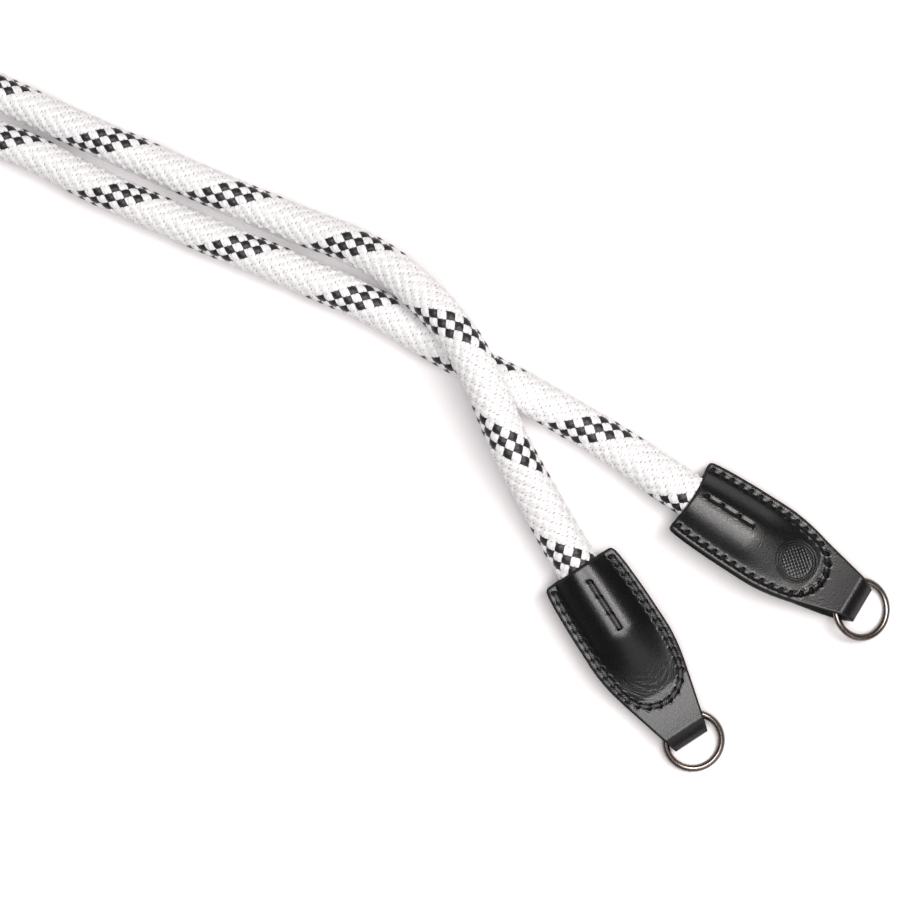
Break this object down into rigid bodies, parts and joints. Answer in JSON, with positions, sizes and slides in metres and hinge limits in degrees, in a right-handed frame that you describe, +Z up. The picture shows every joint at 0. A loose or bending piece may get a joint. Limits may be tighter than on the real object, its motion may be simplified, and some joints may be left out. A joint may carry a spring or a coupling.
{
  "type": "rope camera strap",
  "caption": "Braided rope camera strap lying in a flat bight, its ends crossing and sewn into folded leather tabs, each holding a round metal ring that swings.",
  "frame": {"origin": "centre of the strap's footprint on the surface that it lies on", "axes": "+X along the lying strap, from the rope's bight to the two rings; +Y across it, towards the run that ends in the left leather end; +Z up, away from the surface"},
  "size_m": [0.4783, 0.1167, 0.0204],
  "materials": {
    "rope": "white braided cord with one spiral band of black and white checks",
    "leather": "smooth black leather with a satin sheen, sewn with black thread",
    "ring": "polished dark nickel"
  },
  "bodies": {
    "strap": {"rope": "rope", "leather_end_left": "leather", "leather_end_right": "leather"},
    "left_ring": {"ring_left": "ring"},
    "right_ring": {"ring_right": "ring"}
  },
  "joints": [
    {"name": "left_ring_swing", "type": "hinge", "parent": "strap", "child": "left_ring", "pos_m": [0.20037, -0.04684, 0.0034], "axis": [-0.527, -0.8499, 0], "range_deg": [0, 42]},
    {"name": "right_ring_swing", "type": "hinge", "parent": "strap", "child": "right_ring", "pos_m": [0.2254, 0.00281, 0.00527], "axis": [-0.1266, -0.962, 0.2419], "range_deg": [0, 42]}
  ]
}
